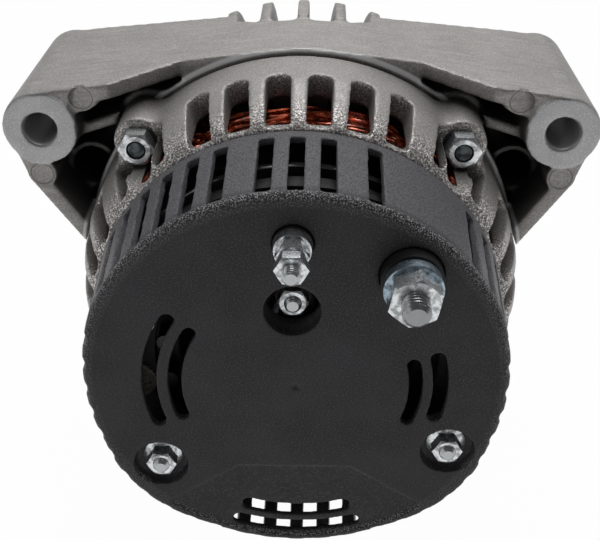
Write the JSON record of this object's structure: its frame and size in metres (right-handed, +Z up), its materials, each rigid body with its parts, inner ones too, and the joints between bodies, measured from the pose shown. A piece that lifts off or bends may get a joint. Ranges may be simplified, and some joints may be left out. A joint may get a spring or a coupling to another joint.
{
  "type": "alternator",
  "caption": "Belt-driven generator with a slotted rear cap, vented castings, two mounting ears, claw-pole rotor, terminals and a ribbed-belt pulley.",
  "frame": {"origin": "midpoint between the two ear bores, in the plane of the ear bosses' rear faces", "axes": "+Y along the shaft toward the pulley, +X from one ear to the other, +Z up with the ears above the shaft"},
  "size_m": [0.1902, 0.1908, 0.1508],
  "materials": {
    "moulded_cover": "charcoal moulded nylon with a fine eroded grain",
    "rear_casting": "bare blasted die casting, sparkling grain",
    "drive_casting": "bare die casting with machined boss faces",
    "lamination": "stacked electrical steel",
    "copper_winding": "enamelled copper wire",
    "slot_paper": "folded insulating paper",
    "zinc_fastener": "bright zinc plate",
    "bearing_steel": "ground bearing steel",
    "bearing_shield": "pressed steel shields",
    "bearing_cage": "moulded nylon cage",
    "machined_steel": "turned steel",
    "pole_steel": "forged and lacquered steel",
    "fan_steel": "pressed and coated sheet",
    "pulley_steel": "black phosphated steel",
    "insulator_black": "glass-filled moulding",
    "bobbin_plastic": "natural nylon",
    "sink_aluminium": "rolled plate",
    "diode_metal": "nickel-plated copper cup",
    "diode_body": "moulded epoxy",
    "slip_ring_copper": "turned copper",
    "terminal_sleeve": "brass tube",
    "carbon": "copper-graphite brush",
    "spring_steel": "coiled spring wire"
  },
  "bodies": {
    "housing": {"b_plus_insulator": "insulator_black", "b_plus_nut": "zinc_fastener", "b_plus_sleeve": "terminal_sleeve", "b_plus_stud": "zinc_fastener", "b_plus_washer": "zinc_fastener", "bearing_retainer": "machined_steel", "brush_holder": "insulator_black", "cover_nuts": "zinc_fastener", "cover_studs": "zinc_fastener", "d_plus_insulator": "insulator_black", "d_plus_nuts": "zinc_fastener", "d_plus_stud": "zinc_fastener", "diode_board": "insulator_black", "drive_end_bracket": "drive_casting", "exciter_diodes": "diode_body", "front_bearing_outer_race": "bearing_steel", "front_bearing_shields": "bearing_shield", "inner_brush_spring": "spring_steel", "negative_diodes": "diode_metal", "negative_heat_sink": "sink_aluminium", "outer_brush_spring": "spring_steel", "positive_diodes": "diode_metal", "positive_heat_sink": "sink_aluminium", "rear_bearing_outer_race": "bearing_steel", "rear_bearing_shields": "bearing_shield", "rear_bracket": "rear_casting", "rear_cover": "moulded_cover", "rectifier_screw": "zinc_fastener", "rectifier_spacers": "insulator_black", "regulator": "insulator_black", "regulator_screws": "zinc_fastener", "retainer_screws": "zinc_fastener", "slot_liners": "slot_paper", "stator_core": "lamination", "stator_windings": "copper_winding", "through_bolt_nuts": "zinc_fastener", "through_bolts": "zinc_fastener", "w_nut": "zinc_fastener", "w_stud": "zinc_fastener"},
    "rotor": {"rotor_shaft": "machined_steel", "front_claw_pole": "pole_steel", "rear_claw_pole": "pole_steel", "field_bobbin": "bobbin_plastic", "field_coil": "copper_winding", "front_fan": "fan_steel", "rear_fan": "fan_steel", "slip_ring_hub": "insulator_black", "slip_rings": "slip_ring_copper", "front_bearing_inner_race": "bearing_steel", "rear_bearing_inner_race": "bearing_steel", "rotor_spacer": "machined_steel", "pulley_spacer": "machined_steel", "pulley": "pulley_steel", "pulley_nut": "zinc_fastener"},
    "front_ball_set": {"front_bearing_balls": "bearing_steel", "front_bearing_cage": "bearing_cage"},
    "rear_ball_set": {"rear_bearing_balls": "bearing_steel", "rear_bearing_cage": "bearing_cage"},
    "inner_brush_slide": {"inner_brush": "carbon"},
    "outer_brush_slide": {"outer_brush": "carbon"}
  },
  "joints": [
    {"name": "rotor_spin", "type": "hinge", "parent": "housing", "child": "rotor", "pos_m": [0, 0.015, -0.052], "axis": [0, 1, 0], "continuous": true},
    {"name": "front_balls_orbit", "type": "hinge", "parent": "housing", "child": "front_ball_set", "pos_m": [0, 0.0625, -0.052], "axis": [0, 1, 0], "continuous": true},
    {"name": "rear_balls_orbit", "type": "hinge", "parent": "housing", "child": "rear_ball_set", "pos_m": [0, -0.025, -0.052], "axis": [0, 1, 0], "continuous": true},
    {"name": "inner_brush_travel", "type": "slide", "parent": "housing", "child": "inner_brush_slide", "axis": [0, 0, 1], "range_m": [0, 0.005], "stiffness_N_per_m": 200, "springref_m": -0.012, "deforming": ["inner_brush_spring"]},
    {"name": "outer_brush_travel", "type": "slide", "parent": "housing", "child": "outer_brush_slide", "axis": [0, 0, 1], "range_m": [0, 0.005], "stiffness_N_per_m": 200, "springref_m": -0.012, "deforming": ["outer_brush_spring"]}
  ],
  "couplings": [
    {"joint": "front_balls_orbit", "follows": "rotor_spin", "ratio": 0.3656},
    {"joint": "rear_balls_orbit", "follows": "rotor_spin", "ratio": 0.3885}
  ]
}
